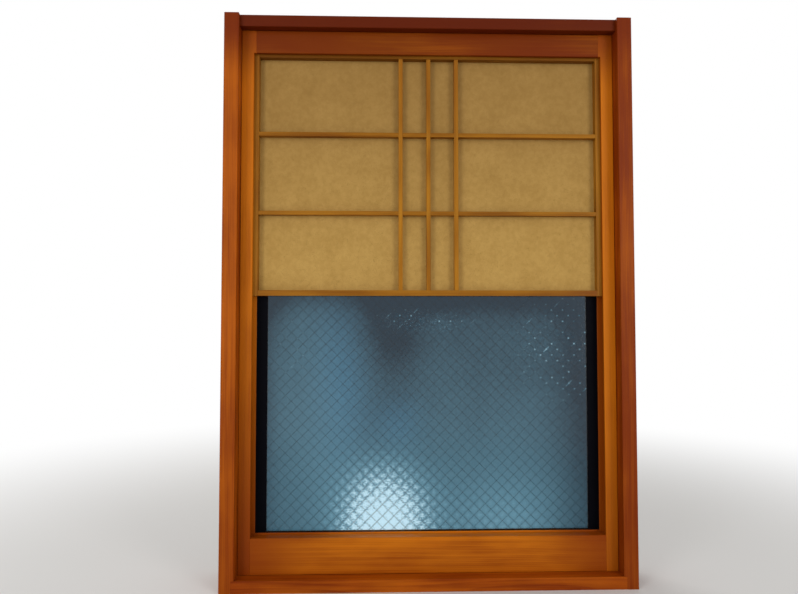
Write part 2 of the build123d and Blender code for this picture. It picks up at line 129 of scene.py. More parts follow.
class ShojiGlassSettings(bpy.types.PropertyGroup):
    """Tints, figure and wire of the pane, and its channels' colour."""

    tint: colour("Tint", "Tint of the pane where it is plain", (0.045, 0.123, 0.172))
    # Painted light: the tint where bluer light shows through the pane
    blue_light_tint: colour("Blue tint", "Tint where the pane looks bluest", (0.045, 0.150, 0.235))
    # The tint of the painted shade and of the dark lines over the wires
    shade_and_wire_tint: colour("Dark tint", "Tint where the pane looks darkest", (0.001, 0.017, 0.034))
    # Painted light: the tint round the painted glow
    glow_fringe_tint: colour("Fringe tint", "Tint round the palest patch", (0.12, 0.28, 0.37))
    # Painted light: the tint of the painted glow and glints
    glow_tint: colour("Pale tint", "Tint where the pane looks palest", (0.58, 0.82, 0.94))
    dimple_spacing: length("Dimple spacing", "Distance between the dimples of the figured face", 0.0062)
    dimple_depth: length("Dimple depth", "Depth of the dimples of the figured face", 0.00016)
    mesh_spacing: length("Mesh spacing", "Diagonal of a lozenge of the wire mesh", 0.0241)
    wire_thickness: length("Wire thickness", "Thickness of the mesh's wires", 0.0005)
    wire_depth: length("Wire depth", "How deep the mesh lies behind the figured face", 0.0017)
    wire_waver: length("Wire waver", "How far the wires waver from straight lines", 0.0004)
    channel_tone: colour("Channel tone", "Colour of the pane's edge channels", (0.001, 0.001, 0.002))


class ShojiMetalSettings(bpy.types.PropertyGroup):
    """Colours of the small metalwork."""

    steel: colour("Steel", "Colour of the screws, springs and wires", (0.46, 0.45, 0.43))
    brass: colour("Brass", "Colour of the beads' nails", (0.58, 0.40, 0.15))


class ShojiStageSettings(bpy.types.PropertyGroup):
    """Camera, floor and lamps."""

    camera_place: FloatVectorProperty(
        name="Camera place",
        description="Where the camera stands",
        default=(-0.0967, -1.2755, 0.5465),
        subtype="TRANSLATION",
        unit="LENGTH",
    )
    camera_yaw: angle("Camera yaw", "How far the camera turns to the right", math.radians(1.57))
    camera_pitch: angle("Camera pitch", "How far the camera looks up", math.radians(2.06))
    camera_lens: FloatProperty(
        name="Camera lens",
        description="Focal length of the lens on a sensor 36 mm wide",
        default=27.07,
        unit="CAMERA",
    )
    floor_tone: colour("Floor tone", "Colour of the floor", (0.74, 0.73, 0.71))
    floor_reach: length("Floor reach", "How far the floor reaches from the screen", 8.0)
    lamp_power: power("Lamp power", "Power of each soft lamp in front", 24.5)
    back_lamp_power: power("Back lamp power", "Power of the smaller lamp behind the screen", 20.0)
    fill_level: FloatProperty(
        name="Fill level", description="Strength of the even light from all round", default=0.56, min=0.0
    )


class ShojiSettings(bpy.types.PropertyGroup):
    """All that a user may change."""

    wood: PointerProperty(type=ShojiWoodSettings, name="Wood", description="The cedar")
    paper: PointerProperty(type=ShojiPaperSettings, name="Paper", description="The paper")
    glass: PointerProperty(type=ShojiGlassSettings, name="Glass", description="The lower pane")
    metal: PointerProperty(type=ShojiMetalSettings, name="Metal", description="The small metalwork")
    stage: PointerProperty(type=ShojiStageSettings, name="Stage", description="The studio")


# Node trees

WHITE = (1.0, 1.0, 1.0)
STOOD_UP = Euler((math.radians(90), 0.0, 0.0))
# The range that holds most of a noise's values, and a narrower one for more contrast
WIDE_RANGE, NARROW_RANGE = (0.25, 0.75), (0.3, 0.7)


def rgba(value):
    """A colour socket as it is, or three numbers with full cover."""
    return value if isinstance(value, bpy.types.NodeSocket) else (*value, 1.0)


def scaled(tone, factor):
    """A lighter or darker tone."""
    return [value * factor for value in tone]


class Steps:
    """Adds nodes to a tree one after another, so that a finish reads as a list of steps."""

    def __init__(self, tree):
        self.tree = tree

    def add(self, kind, inputs=None, **settings):
        """A node with its settings, and its inputs linked or set."""
        node = self.tree.nodes.new(kind)
        for name, value in settings.items():
            setattr(node, name, value)
        for key, value in (inputs or {}).items():
            if isinstance(value, bpy.types.NodeSocket):
                self.tree.links.new(value, node.inputs[key])
            else:
                node.inputs[key].default_value = value
        return node

    def result(self, kind, inputs=None, **settings):
        """The first output of a new node."""
        return self.add(kind, inputs, **settings).outputs[0]

    def math(self, operation, *values):
        """Arithmetic on numbers."""
        return self.result("ShaderNodeMath", dict(enumerate(values)), operation=operation)

    def plus(self, first, second):
        """The sum of two numbers."""
        return self.math("ADD", first, second)

    def times(self, first, second):
        """The product of two numbers."""
        return self.math("MULTIPLY", first, second)

    def weighed(self, *rows):
        """The sum of several numbers, each times its weight."""
        total = 0.0
        for value, weight in rows:
            total = self.math("MULTIPLY_ADD", value, weight, total)
        return total

    def greatest(self, first, *others):
        """The greatest of several numbers."""
        for other in others:
            first = self.math("MAXIMUM", first, other)
        return first

    def vector(self, operation, *values, scale=None):
        """Arithmetic on vectors."""
        inputs = dict(enumerate(values))
        if scale is not None:
            inputs["Scale"] = scale
        node = self.add("ShaderNodeVectorMath", inputs, operation=operation)
        return node.outputs["Value" if operation in ("LENGTH", "DISTANCE", "DOT_PRODUCT") else "Vector"]

    def split(self, vector):
        """The three numbers of a vector, by axis."""
        return self.add("ShaderNodeSeparateXYZ", {0: vector}).outputs

    def look_up(self, value, index, domain):
        """What a value is at another corner, edge or face, by its number."""
        return self.result("GeometryNodeFieldAtIndex", {"Value": value, "Index": index}, domain=domain)

    def place(self, turn=(0.0, 0.0, 0.0)):
        """Places on the piece, in its own axes or in turned ones."""
        source = self.add("ShaderNodeTexCoord").outputs["Object"]
        return self.result("ShaderNodeMapping", {"Vector": source, "Rotation": turn})

    def noise(self, place, scale, detail=2.0, roughness=0.5, distortion=0.0):
        """Soft random clouds from 0 to 1."""
        inputs = {
            "Vector": place,
            "Scale": scale,
            "Detail": detail,
            "Roughness": roughness,
            "Distortion": distortion,
        }
        return self.result("ShaderNodeTexNoise", inputs)

    def drawn_noise(self, place, pressing, *pattern):
        """Clouds that are pressed together along Z so many times, and drawn out where that is below 1."""
        return self.noise(self.vector("MULTIPLY", place, (1.0, 1.0, pressing)), *pattern)

    def spread(self, value, low, high, out_low=0.0, out_high=1.0):
        """A smooth step of a value from one range to another."""
        inputs = {0: value, 1: low, 2: high, 3: out_low, 4: out_high}
        return self.result("ShaderNodeMapRange", inputs, interpolation_type="SMOOTHSTEP")

    def mix(self, factor, first, second):
        """One colour turning into another."""
        inputs = {0: factor, 6: rgba(first), 7: rgba(second)}
        return self.add("ShaderNodeMix", inputs, data_type="RGBA").outputs[2]

    def bump(self, height, strength, distance):
        """Small relief that the mesh doesn't hold."""
        return self.result("ShaderNodeBump", {"Strength": strength, "Distance": distance, "Height": height})

    def join(self, *parts):
        """Several geometries as one."""
        node = self.add("GeometryNodeJoinGeometry")
        for part in parts:
            self.tree.links.new(part, node.inputs[0])
        return node.outputs[0]


class Finish(Steps):
    """A material with one shader, whose pattern is in the piece's own axes."""

    def __init__(self, name, **shader_values):
        self.material = bpy.data.materials.new(name)
        self.material.use_nodes = True
        super().__init__(self.material.node_tree)
        self.shader = self.tree.nodes["Principled BSDF"]
        for key, value in shader_values.items():
            self.shader.inputs[key.replace("_", " ")].default_value = value

    def drive(self, **sockets):
        """Links patterns to the shader's inputs, and gives the material."""
        for key, value in sockets.items():
            self.tree.links.new(value, self.shader.inputs[key.replace("_", " ")])
        return self.material


# The cedar

GRAIN_TURNS = {"Z": (0.0, 0.0, 0.0), "X": (0.0, math.radians(90), 0.0)}
# How red a piece is, from 0 to 1
REDNESS = {"right_jamb": 0.45, "left_jamb": 0.30, "head": 0.90, "sill": 0.60, "leaf_top_rail": 0.75}
USUAL_REDNESS = 0.25
# How far a piece leans to its pale tone, or below 0 to its deep one, and by how much that may vary
# On the head and the top rails the lean to the deep tone is painted shade, and on the leaf's stiles the
# lean to the pale tone is painted light against the jambs' shade
PALENESS = {
    "left_jamb": 0.06,
    "right_jamb": -0.22,
    "head": -0.55,
    "leaf_left_stile": 0.36,
    "leaf_right_stile": 0.44,
    "leaf_top_rail": -0.38,
    "leaf_bottom_rail": 0.14,
    "panel_top_rail": -0.25,
    "panel_upright_bar_1": 0.22,
}
PALENESS_VARIES = 0.03
# How light a piece's two tones are beside its group's
# Below 1, on the head and the top rails, this is painted shade; above 1, on the leaf's stiles, it is
# painted light against the jambs' shade
LIGHTNESS = {
    "head": 0.62,
    "leaf_top_rail": 0.85,
    "leaf_left_stile": 1.22,
    "leaf_right_stile": 1.26,
    "leaf_bottom_rail": 1.25,
    "panel_top_rail": 0.75,
    "panel_upright_bar_1": 1.12,
    "panel_upright_bar_2": 1.08,
    "panel_upright_bar_3": 1.10,
}

# The height up to which a piece is darkened towards its foot, and how much at its foot
FOOTS = {"leaf_left_stile": (0.68, 0.95), "leaf_right_stile": (0.45, 0.52), "leaf_bottom_rail": (0.10, 0.5)}
USUAL_FOOT, NO_FOOT = (0.30, 0.40), (1.0, 0.0)
# Painted shade towards a piece's top: the height from which it starts, the height where it is full, and how
# much
SHADED_TOPS = {
    "left_jamb": (1.03, 1.15, 0.90),
    "right_jamb": (1.03, 1.15, 0.90),
    "leaf_left_stile": (1.02, 1.14, 0.85),
    "leaf_right_stile": (1.02, 1.14, 0.85),
}
USUAL_SHADED_TOP, NO_SHADED_TOP = (0.88, 1.10, 0.35), (2.0, 3.0, 0.0)
# How much a piece is darkened at its ends, and how far from the middle that starts and is full
ENDS_DARKNESS = {"leaf_bottom_rail": 0.8}
ENDS_REACH = (0.16, 0.37)
# Painted shade on a piece's side faces: how much, and how far behind its faces that starts and is full
SIDES_SHADE = {"leaf_right_stile": 0.8}
SIDES_SHADE_START, SIDES_SHADE_FULL = 0.0010, 0.0025

# The grain's patterns: how much each is pressed together along the grain, where less than 1 draws it out,
# its scale and its detail. Their weights are below them.
DRIFT, BLUSH = (0.16, 7.0, 2.0), (0.35, 8.0, 2.0)
CLOUDS, STREAKS, PORES = (0.30, 16.0, 3.0), (0.022, 150.0, 3.0), (0.012, 850.0, 2.0)
CLOUD_WEIGHT, STREAK_WEIGHT, PORE_WEIGHT, RING_WEIGHT = 0.50, 0.34, 0.16, -0.16
PALEST_TONE = 0.95
# How far a piece's pattern may be shifted, so that no two pieces look the same
FARTHEST_SHIFT = 4.0
# How many rings the drift is worth, and where in a ring its dark late wood starts and ends
RING_DRIFT = 9.0
LATE_START, LATE_END = (0.35, 0.90), (1.0, 0.93)
# Where in its noise the blush starts and is full, how much lower that lies in a red piece, and its most
BLUSH_START, BLUSH_FULL = 0.72, 0.98
START_DROP, FULL_DROP = 0.6, 0.5
MOST_BLUSH = 0.75
RED_CAST, DARKENED_CAST = (0.84, 0.58, 0.7), (0.8, 0.64, 0.8)
# The range of streaks and pores together, and the roughness that it becomes
OPEN_GRAIN, OILED_ROUGHNESS = (0.6, 1.4), (0.36, 0.50)
RING_RELIEF = 0.5
GRAIN_BUMP = (0.22, 0.00025)


def darkening_and_shade(finish, node, along):
    """How much a piece is darkened at its foot and its ends, and by painted shade at its top and on its
    sides.
    """
    spot = finish.split(finish.place())
    foot_height, foot_darkness = FOOTS.get(node, USUAL_FOOT if along == "Z" else NO_FOOT)
    foot = finish.spread(spot["Z"], foot_height, 0.0, 0.0, foot_darkness)
    top_start, top_full, top_shade_amount = SHADED_TOPS.get(node, USUAL_SHADED_TOP if along == "Z" else NO_SHADED_TOP)
    # Painted shade towards the top
    top = finish.spread(spot["Z"], top_start, top_full, 0.0, top_shade_amount)
    from_middle = finish.math("ABSOLUTE", spot["X"])
    ends = finish.spread(from_middle, *ENDS_REACH, 0.0, ENDS_DARKNESS.get(node, 0.0))
    low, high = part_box(node)
    # Painted shade on the side faces, between the front and the back
    behind_face = finish.spread(spot["Y"], low.y + SIDES_SHADE_START, low.y + SIDES_SHADE_FULL)
    before_back = finish.spread(spot["Y"], high.y - SIDES_SHADE_START, high.y - SIDES_SHADE_FULL)
    sides = finish.times(finish.times(behind_face, before_back), SIDES_SHADE.get(node, 0.0))
    return finish.greatest(foot, top, ends, sides)


def cedar(node, pale, deep, along, ring_spacing):
    """Straight-grained oiled cedar: broad clouds of tone, streaks and pores along the grain, and faint
    growth rings round a line that runs the same way."""
    chance = random.Random(node)
    shift = [chance.uniform(-FARTHEST_SHIFT, FARTHEST_SHIFT) for _ in range(3)]
    paleness = PALENESS.get(node, 0.0) + chance.uniform(-PALENESS_VARIES, PALENESS_VARIES)
    redness = REDNESS.get(node, USUAL_REDNESS)
    lightness = LIGHTNESS.get(node, 1.0)
    pale, deep = scaled(pale, lightness), scaled(deep, lightness)
    finish = Finish(f"{node}_cedar", Specular_IOR_Level=0.09)
    local = finish.place(GRAIN_TURNS[along])
    shifted = finish.vector("ADD", local, shift)
    drift = finish.drawn_noise(shifted, *DRIFT)
    clouds = finish.drawn_noise(shifted, *CLOUDS)
    streaks = finish.drawn_noise(shifted, *STREAKS)
    pores = finish.drawn_noise(shifted, *PORES)
    blush = finish.drawn_noise(shifted, *BLUSH)

    across = finish.vector("LENGTH", finish.vector("MULTIPLY", local, (1.0, 1.0, 0.0)))
    turns = finish.plus(finish.math("DIVIDE", across, ring_spacing), finish.times(drift, RING_DRIFT))
    ring = finish.math("FRACT", turns)
    late = finish.times(finish.spread(ring, *LATE_START), finish.spread(ring, *LATE_END))
    tone = finish.weighed(
        (finish.spread(clouds, *WIDE_RANGE), CLOUD_WEIGHT),
        (finish.spread(streaks, *WIDE_RANGE), STREAK_WEIGHT),
        (pores, PORE_WEIGHT),
        (late, RING_WEIGHT),
    )
    body = finish.mix(finish.spread(finish.plus(tone, paleness), 0.0, PALEST_TONE), deep, pale)

    red = finish.vector("MULTIPLY", body, RED_CAST)
    blush_range = (BLUSH_START - redness * START_DROP, BLUSH_FULL - redness * FULL_DROP)
    warm = finish.mix(finish.spread(blush, *blush_range, 0.0, MOST_BLUSH), body, red)
    # The darker tone of the foot and the ends, and of the painted shade at the top and on the sides
    darkened_tone = [value * cast for value, cast in zip(deep, DARKENED_CAST)]
    darkened_and_shaded = finish.mix(darkening_and_shade(finish, node, along), warm, darkened_tone)

    roughness = finish.spread(finish.plus(streaks, pores), *OPEN_GRAIN, *OILED_ROUGHNESS)
    relief = finish.math("MULTIPLY_ADD", late, RING_RELIEF, pores)
    return finish.drive(Base_Color=darkened_and_shaded, Roughness=roughness, Normal=finish.bump(relief, *GRAIN_BUMP))


def new_tree(name, sockets):
    """The steps of a new geometry tree, its inputs, given as name: kind, and their identifiers."""
    tree = bpy.data.node_groups.new(name, "GeometryNodeTree")
    identifiers = {}
    for label, kind in sockets.items():
        socket = tree.interface.new_socket(label, in_out="INPUT", socket_type=f"NodeSocket{kind}")
        identifiers[label] = socket.identifier
    tree.interface.new_socket("Geometry", in_out="OUTPUT", socket_type="NodeSocketGeometry")
    steps = Steps(tree)
    return steps, steps.add("NodeGroupInput").outputs, identifiers


def end_tree(steps, geometry, material):
    """Makes the instances real, gives them their material, ends the tree and gives it."""
    real = steps.result("GeometryNodeRealizeInstances", {0: geometry})
    painted = steps.result("GeometryNodeSetMaterial", {"Geometry": real, "Material": material})
    steps.add("NodeGroupOutput", {0: painted})
    return steps.tree


EASING_TREE_INPUTS = {"Geometry": "Geometry", "Radius": "Float", "Material": "Material"}
# Edges are eased where they bend more than this and are longer than this
SHARPEST_UNTOUCHED = math.radians(40)
SHORTEST_EASED = 0.006
# How much room an edge needs beside it and at its ends, in radii
ROOM_NEEDED = 3.0
# How close two points are joined, how flat an edge inside a face is, and the steps of a rounded edge
JOINING_DISTANCE = 0.00001
FLATTEST_EDGE = math.radians(0.5)
ROUNDING_STEPS = 2


def easing_tree():
    """Marks the outward edges that are sharp and long, with enough room beside them and at both ends."""
    steps, given, identifiers = new_tree("Edges to ease", EASING_TREE_INPUTS)
    ends = steps.add("GeometryNodeInputMeshEdgeVertices").outputs
    edge_length = steps.vector("DISTANCE", ends["Position 1"], ends["Position 2"])
    area = steps.result("GeometryNodeInputMeshFaceArea")
    beside = []
    for side in (0, 1):
        corner = steps.add("GeometryNodeCornersOfEdge", {"Sort Index": side}).outputs["Corner Index"]
        face = steps.add("GeometryNodeFaceOfCorner", {"Corner Index": corner}).outputs["Face Index"]
        beside.append(steps.look_up(area, face, "FACE"))
    width = steps.math("DIVIDE", steps.math("MINIMUM", *beside), edge_length)
    next_edge = steps.add("GeometryNodeEdgesOfVertex", {"Weights": edge_length}).outputs["Edge Index"]
    next_length = steps.look_up(edge_length, next_edge, "EDGE")
    at_ends = [steps.look_up(next_length, ends[f"Vertex Index {end}"], "POINT") for end in (1, 2)]
    room = steps.math("MINIMUM", width, steps.math("MINIMUM", *at_ends))

    bend = steps.add("GeometryNodeInputMeshEdgeAngle").outputs["Signed Angle"]
    sharp = steps.math("GREATER_THAN", bend, SHARPEST_UNTOUCHED)
    long_enough = steps.math("GREATER_THAN", edge_length, SHORTEST_EASED)
    roomy = steps.math("GREATER_THAN", room, steps.times(given["Radius"], ROOM_NEEDED))
    eased = steps.times(steps.times(sharp, long_enough), roomy)
    inputs = {"Geometry": given["Geometry"], "Name": "bevel_weight_edge", "Value": eased}
    marked = steps.result("GeometryNodeStoreNamedAttribute", inputs, domain="EDGE")
    return end_tree(steps, marked, given["Material"]), identifiers


def ease_edges(piece, radius, tree, identifiers, material):
    """Rounds the edges of a solid that sandpaper reaches, and leaves its joints and holes crisp."""
    weld = piece.modifiers.new("Join faces", "WELD")
    weld.merge_threshold = JOINING_DISTANCE
    flat = piece.modifiers.new("Make faces whole", "DECIMATE")
    flat.decimate_type = "DISSOLVE"
    flat.angle_limit = FLATTEST_EDGE
    choose = piece.modifiers.new("Choose edges", "NODES")
    choose.node_group = tree
    choose[identifiers["Radius"]] = radius
    choose[identifiers["Material"]] = material
    bevel = piece.modifiers.new("Ease edges", "BEVEL")
    bevel.width = radius
    bevel.segments = ROUNDING_STEPS
    bevel.limit_method = "WEIGHT"
    bevel.use_clamp_overlap = False


def dress(piece, material):
    """Gives a piece one finish all over."""
    piece.data.materials.clear()
    piece.data.materials.append(material)


def dress_cedar(nodes, pale, deep, along):
    """Oils a group of wooden pieces whose grain runs one way, and eases their edges."""
    wood = bpy.context.scene.shoji.wood
    tree, identifiers = easing_tree()
    for node in nodes:
        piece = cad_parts[node]
        finish = cedar(node, pale, deep, along, wood.ring_spacing)
        dress(piece, finish)
        ease_edges(piece, wood.edge_radius, tree, identifiers, finish)


class SHOJI_OT_finish_frame(bpy.types.Operator):
    """Oil the head, the sill and the jambs"""

    bl_idname = "shoji.finish_frame"
    bl_label = "Finish the opening frame"

    def execute(self, context):
        wood = context.scene.shoji.wood
        dress_cedar(FRAME_UPRIGHTS, wood.frame_pale, wood.frame_deep, "Z")
        dress_cedar(FRAME_LEVELS, wood.frame_pale, wood.frame_deep, "X")
        return {"FINISHED"}


class SHOJI_OT_finish_leaf(bpy.types.Operator):
    """Oil the leaf's stiles and rails and the pane's beads"""

    bl_idname = "shoji.finish_leaf"
    bl_label = "Finish the leaf"

    def execute(self, context):
        wood = context.scene.shoji.wood
        dress_cedar(LEAF_UPRIGHTS, wood.leaf_pale, wood.leaf_deep, "Z")
        dress_cedar(LEAF_LEVELS, wood.leaf_pale, wood.leaf_deep, "X")
        return {"FINISHED"}


class SHOJI_OT_finish_lattice(bpy.types.Operator):
    """Oil the lifting panel and both lattices"""

    bl_idname = "shoji.finish_lattice"
    bl_label = "Finish the lattices"

    def execute(self, context):
        wood = context.scene.shoji.wood
        dress_cedar(PANEL_UPRIGHTS + UPRIGHT_BARS, wood.lattice_pale, wood.lattice_deep, "Z")
        dress_cedar(PANEL_LEVELS + LEVEL_BARS, wood.lattice_pale, wood.lattice_deep, "X")
        return {"FINISHED"}


# The paper

# The heights from which painted shade darkens and browns the paper towards its top, and where it is darkest
SHADE_HEIGHTS = (0.62, 1.08)
# The pulp's patterns: the scale, detail, roughness and distortion of each, with their weights below
PULP_CLOUDS, PULP_MOTTLE, PULP_SPECKS = (16.0, 3.0), (95.0, 4.0, 0.60), (900.0, 2.0)
PULP_THREADS = (46.0, 2.0, 0.45, 2.2)
PULP_CLOUDS_WEIGHT, PULP_MOTTLE_WEIGHT, PULP_SPECKS_WEIGHT = 0.36, 0.46, 0.18
THREAD_REACH, THREAD_STRENGTH, THREAD_TONE, THREAD_RELIEF = 0.012, 0.55, 0.72, 0.8
PAPER_ROUGHNESS = (0.82, 0.95)
PAPER_BUMP = (0.35, 0.0003)
# How dark and how light a loose fibre gets beside its tone
FIBRE_LIGHTNESS = (0.6, 1.6)


def washi(pale, deep, shaded_top_tone):
    """Tan paper with cloudy pulp, a fine mottle and threads of long fibre, with painted shade that darkens
    and browns it towards its top.
    """
    finish = Finish("tan_washi", Specular_IOR_Level=0.18)
    place = finish.place()
    clouds = finish.noise(place, *PULP_CLOUDS)
    mottle = finish.noise(place, *PULP_MOTTLE)
    specks = finish.noise(place, *PULP_SPECKS)
    from_thread = finish.math("ABSOLUTE", finish.math("SUBTRACT", finish.noise(place, *PULP_THREADS), 0.5))
    threads = finish.spread(from_thread, THREAD_REACH, 0.0, 0.0, THREAD_STRENGTH)

    tone = finish.weighed(
        (finish.spread(clouds, *NARROW_RANGE), PULP_CLOUDS_WEIGHT),
        (finish.spread(mottle, *NARROW_RANGE), PULP_MOTTLE_WEIGHT),
        (specks, PULP_SPECKS_WEIGHT),
    )
    # Painted shade, darker and browner towards the top
    top_shading = finish.mix(finish.spread(finish.split(place)["Z"], *SHADE_HEIGHTS), WHITE, shaded_top_tone)
    pulp = finish.vector("MULTIPLY", finish.mix(tone, deep, pale), top_shading)
    threaded = finish.mix(threads, pulp, scaled(deep, THREAD_TONE))
    relief = finish.math("MULTIPLY_ADD", threads, THREAD_RELIEF, mottle)
    roughness = finish.spread(specks, *NARROW_RANGE, *PAPER_ROUGHNESS)
    return finish.drive(Base_Color=threaded, Roughness=roughness, Normal=finish.bump(relief, *PAPER_BUMP))


def loose_fibre(tone):
    """The fibres that stand on the paper's face, paler and darker along their length."""
    finish = Finish("paper_fibre", Specular_IOR_Level=0.2, Roughness=0.85)
    shade = finish.noise(finish.place(), scale=120.0, detail=1.0)
    return finish.drive(Base_Color=finish.mix(shade, *(scaled(tone, share) for share in FIBRE_LIGHTNESS)))


def grow(name, tree, identifiers, values, body, start=None):
    """Runs a geometry tree with its inputs set, and keeps the result as a plain mesh piece on a body."""
    carrier = bpy.data.objects.new(f"{name}_carrier", start or bpy.data.meshes.new(f"{name}_start"))
    bpy.context.scene.collection.objects.link(carrier)
    modifier = carrier.modifiers.new("Grow", "NODES")
    modifier.node_group = tree
    for label, value in values.items():
        modifier[identifiers[label]] = value
    evaluated = carrier.evaluated_get(bpy.context.evaluated_depsgraph_get())
    mesh = bpy.data.meshes.new_from_object(evaluated)
    mesh.name = name
    bpy.data.objects.remove(carrier)
    piece = bpy.data.objects.new(name, mesh)
    bpy.context.scene.collection.objects.link(piece)
    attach(piece, body)
    return piece


FIBRE_TREE_INPUTS = {
    "Width": "Float",
    "Height": "Float",
    "Place": "Vector",
    "Density": "Float",
    "Fibre length": "Float",
    "Fibre width": "Float",
    "Seed": "Int",
    "Material": "Material",
}
# A bowed fibre of length 1, its steps and sides, and how much shorter and flatter or longer it may be
BOWED_FIBRE = {"Resolution": 5, "Start": (-0.5, 0, 0), "Middle": (0.0, 0.32, 0), "End": (0.5, 0.06, 0)}
FIBRE_SIDES = 3
SMALLEST_FIBRE, LARGEST_FIBRE = (0.45, 0.15, 1.0), (1.35, 0.95, 1.0)
SIZE_SEED_STEP = 7.0


def fibre_tree():
    """Curved fibres laid at random on a level rectangle, which is then stood up to face the front."""
    steps, given, identifiers = new_tree("Laid fibres", FIBRE_TREE_INPUTS)
    size = {"Size X": given["Width"], "Size Y": given["Height"], "Vertices X": 2, "Vertices Y": 2}
    sheet = steps.result("GeometryNodeMeshGrid", size)
    scatter = steps.result(
        "GeometryNodeDistributePointsOnFaces",
        {"Mesh": sheet, "Density": given["Density"], "Seed": given["Seed"]},
    )
    bow = steps.result("GeometryNodeCurveQuadraticBezier", BOWED_FIBRE)
    bow_size = steps.vector("SCALE", (1.0, 1.0, 1.0), scale=given["Fibre length"])
    sized_bow = steps.result("GeometryNodeTransform", {"Geometry": bow, "Scale": bow_size})
    radius = steps.times(given["Fibre width"], 0.5)
    ring = steps.result("GeometryNodeCurvePrimitiveCircle", {"Resolution": FIBRE_SIDES, "Radius": radius})
    fibre = steps.result(
        "GeometryNodeCurveToMesh", {"Curve": sized_bow, "Profile Curve": ring, "Fill Caps": True}
    )
    spin = steps.result(
        "FunctionNodeRandomValue",
        {"Min": (0, 0, 0), "Max": (0, 0, math.tau), "Seed": given["Seed"]},
        data_type="FLOAT_VECTOR",
    )
    size_seed = steps.plus(given["Seed"], SIZE_SEED_STEP)
    growth = steps.result(
        "FunctionNodeRandomValue",
        {"Min": SMALLEST_FIBRE, "Max": LARGEST_FIBRE, "Seed": size_seed},
        data_type="FLOAT_VECTOR",
    )
    laid = steps.result(
        "GeometryNodeInstanceOnPoints",
        {"Points": scatter, "Instance": fibre, "Rotation": spin, "Scale": growth},
    )
    stood = steps.result(
        "GeometryNodeTransform", {"Geometry": laid, "Rotation": STOOD_UP, "Translation": given["Place"]}
    )
    return end_tree(steps, stood, given["Material"]), identifiers


class SHOJI_OT_hang_paper(bpy.types.Operator):
    """Paste the paper behind both lattices and lay its loose fibres"""

    bl_idname = "shoji.hang_paper"
    bl_label = "Hang the paper"

    def execute(self, context):
        paper = context.scene.shoji.paper
        finish = washi(paper.pale, paper.deep, paper.shaded_top_tone)
        fibre_finish = loose_fibre(paper.fibre_tone)
        tree, identifiers = fibre_tree()
        margin = paper.fibre_length * 2
        for seed, (sheet, body) in enumerate(PAPERS):
            dress(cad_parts[sheet], finish)
            low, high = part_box(sheet)
            values = {
                "Width": high.x - low.x - margin,
                "Height": high.z - low.z - margin,
                "Place": ((low.x + high.x) / 2, low.y, (low.z + high.z) / 2),
                "Density": paper.fibre_density,
                "Fibre length": paper.fibre_length,
                "Fibre width": paper.fibre_width,
                "Seed": seed,
                "Material": fibre_finish,
            }
            grow(f"{sheet}_fibres", tree, identifiers, values, body)
        return {"FINISHED"}


# The pane

# Soft patches of the pane: the centre of each across and up, its half-width and half-height, and its amount
# Painted light: patches where light glows through the pane from behind
BACKLIT_PATCHES = (
    (-0.096, 0.090, 0.094, 0.132, 0.70),
    (-0.100, 0.170, 0.180, 0.140, 0.14),
    (0.165, 0.100, 0.140, 0.120, 0.20),
)
# Painted light: a softer glow from behind, without glints
SOFT_BACKLIGHT_PATCHES = (
    (0.165, 0.130, 0.160, 0.170, 0.105),
    (-0.235, 0.310, 0.090, 0.280, 0.080),
)
# Painted shade: dark patches along the pane's edges, under the rails and where little light comes through
SHADED_PATCHES = (
    (-0.075, 0.545, 0.062, 0.150, 0.80),
    (0.110, 0.590, 0.300, 0.190, 0.60),
    (0.350, 0.380, 0.085, 0.500, 0.90),
    (-0.350, 0.330, 0.028, 0.500, 0.60),
    (-0.340, 0.620, 0.050, 0.100, 0.70),
    (0.050, 0.610, 0.600, 0.045, 0.72),
)
# Painted highlights: glints at the wire's twists and along some rising wires
TWIST_GLINT_PATCHES = (
    (0.285, 0.475, 0.080, 0.080, 1.30),
    (0.000, 0.545, 0.085, 0.018, 0.75),
    (-0.290, 0.480, 0.040, 0.080, 0.35),
)
# Painted light: patches where bluer light shows through the pane
BLUE_LIGHT_PATCHES = (
    (-0.180, 0.420, 0.058, 0.180, 1.00),
    (-0.065, 0.330, 0.050, 0.060, 0.80),
)
# Painted highlights: level dashes of glint
DASH_GLINT_PATCHES = (
    (-0.006, 0.537, 0.075, 0.022, 0.50),
    (0.250, 0.490, 0.090, 0.070, 0.20),
    (-0.100, 0.225, 0.110, 0.035, 0.35),
)

# The glass's patterns: the scale, detail and roughness of each, and before them, how much flecks and
# dashes are pressed together along Z
HAZE, PEBBLES, FINE_FIGURE = (6.0, 2.0), (170.0, 3.0, 0.6), (420.0, 2.0)
FLECKS, DASHES = (2.0, 190.0, 3.0, 0.75), (3.5, 260.0, 2.0)
# Ranges of a pattern, and the levels that they become where those aren't 0 and 1
HAZY, PEBBLED, DASHED = (0.4, 0.7), (0.35, 0.65, -0.10, 0.16), (0.60, 0.68)
HAZE_DARKNESS = 0.14
# How far from a wire, in cells of the mesh, its line, its twist and the cell's heart start and are full
WIRE_LINE, WIRE_TWIST, CELL_HEART = (0.080, 0.015), (0.130, 0.030), (0.06, 0.42)
# What makes a glint, and the ranges that it and the palest patches come through in
PALE_IN_GLINT, HEART_IN_GLINT = 0.42, 0.09
GLINT_RANGE, GLINTING_PALE, GLOWING_PALE = (0.66, 0.76), (0.08, 0.56), (0.02, 0.25)
GLINT_LEVEL, GLOW_LEVEL, PALE_LEVEL = 0.60, 0.03, 0.40
# Each twist's luck: the range in which it shines, and that in which its rising wire does, and how much
TWIST_LUCK, STROKE_LUCK = (0.20, 0.85), (0.86, 1.0, 0.0, 0.60)
# The levels of light that turn into the fringe's tint and into the palest one
FRINGE_LEVELS, PALEST_LEVELS = (0.0, 0.32), (0.15, 1.08)
